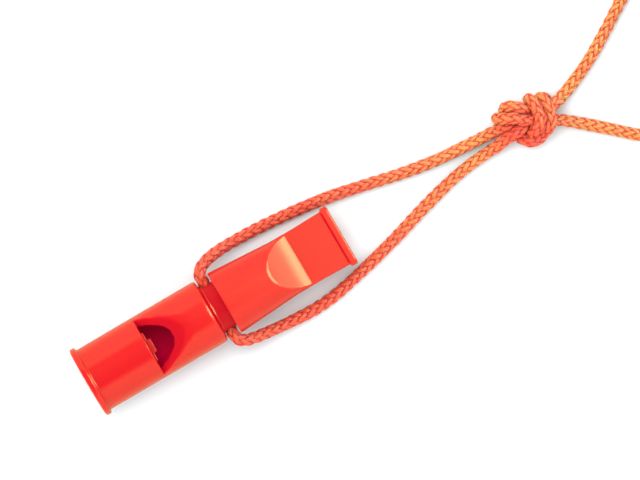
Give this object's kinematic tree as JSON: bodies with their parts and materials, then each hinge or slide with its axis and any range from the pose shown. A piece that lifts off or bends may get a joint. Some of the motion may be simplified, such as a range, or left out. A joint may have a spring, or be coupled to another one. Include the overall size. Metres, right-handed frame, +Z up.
{
  "type": "double tone whistle",
  "caption": "Whistle with a wide low-tone barrel and a tapered high-tone barrel end to end, each with a beak and a window, on a knotted braided neck cord.",
  "frame": {"origin": "on the surface the whistle lies on, under the middle of its length and width", "axes": "+X along the whistle from the low-tone mouth to the high-tone mouth and on to the knot, +Z up, out of the low-tone window"},
  "size_m": [0.251, 0.0572, 0.0206],
  "materials": {
    "barrel_plastic": "glossy moulded orange-red plastic",
    "block_plastic": "moulded orange-red plastic, a little duller inside",
    "cork": "turned cork with dark pores",
    "cord": "braided orange cord with a slight sheen",
    "strap": "woven dark strap"
  },
  "bodies": {
    "whistle": {"low_barrel": "barrel_plastic", "low_windway_block": "block_plastic", "high_barrel": "barrel_plastic", "high_windway_block": "block_plastic", "cord_whistle_loop": "cord", "cord_knot": "cord", "cord_upper_strand": "cord", "cord_lower_strand": "cord", "cord_coil": "cord", "coil_strap": "strap"},
    "pea": {"pea": "cork"}
  },
  "joints": [
    {"name": "pea_roll", "type": "slide", "parent": "whistle", "child": "pea", "axis": [1, 0, 0], "range_m": [-0.009, 0]}
  ]
}
